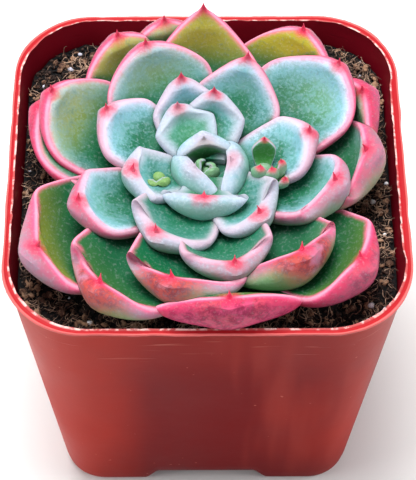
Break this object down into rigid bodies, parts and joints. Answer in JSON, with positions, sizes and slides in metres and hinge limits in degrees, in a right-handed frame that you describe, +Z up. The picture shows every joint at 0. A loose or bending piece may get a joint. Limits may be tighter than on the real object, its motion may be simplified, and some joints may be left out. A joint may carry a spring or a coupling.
{
  "type": "potted mexican snowball succulent",
  "caption": "Cupped-leaf succulent rosette with pink leaf margins, growing in soil in a tapered square plastic nursery pot.",
  "frame": {"origin": "middle of the pot's base, on the surface that the pot stands on", "axes": "+Z up out of the pot's mouth; X and Y square to the pot's sides; -Y is the side nearest the viewer, towards which the rosette sits a little"},
  "size_m": [0.1, 0.1, 0.1145],
  "materials": {
    "pot_plastic": "thin formed terracotta-red plastic, satin outside, scuffed",
    "potting_mix": "moist dark peat and bark mix with white perlite grains, matte",
    "stem_bark": "short woody stem, matte",
    "outer_leaf": "fleshy leaf, olive green inside, rose outside, waxy bloom",
    "inner_leaf": "fleshy leaf, blue-green with a pink margin and a pale waxy bloom",
    "offset_leaf": "small fleshy leaves, green with red tips"
  },
  "bodies": {
    "root": {"pot": "pot_plastic", "soil": "potting_mix", "stem": "stem_bark", "leaf_01": "outer_leaf", "leaf_02": "outer_leaf", "leaf_03": "outer_leaf", "leaf_04": "outer_leaf", "leaf_05": "outer_leaf", "leaf_06": "outer_leaf", "leaf_07": "outer_leaf", "leaf_08": "outer_leaf", "leaf_09": "outer_leaf", "leaf_10": "outer_leaf", "leaf_11": "outer_leaf", "leaf_12": "outer_leaf", "leaf_13": "outer_leaf", "leaf_14": "outer_leaf", "leaf_15": "outer_leaf", "leaf_16": "inner_leaf", "leaf_17": "inner_leaf", "leaf_18": "inner_leaf", "leaf_19": "inner_leaf", "leaf_20": "inner_leaf", "leaf_21": "inner_leaf", "leaf_22": "inner_leaf", "leaf_23": "inner_leaf", "leaf_24": "inner_leaf", "leaf_25": "inner_leaf", "leaf_26": "inner_leaf", "leaf_27": "inner_leaf", "leaf_28": "inner_leaf", "leaf_29": "inner_leaf", "leaf_30": "inner_leaf", "leaf_31": "inner_leaf", "leaf_32": "inner_leaf", "heart_leaves": "inner_leaf", "offset_right": "offset_leaf", "offset_left": "offset_leaf"}
  },
  "joints": []
}
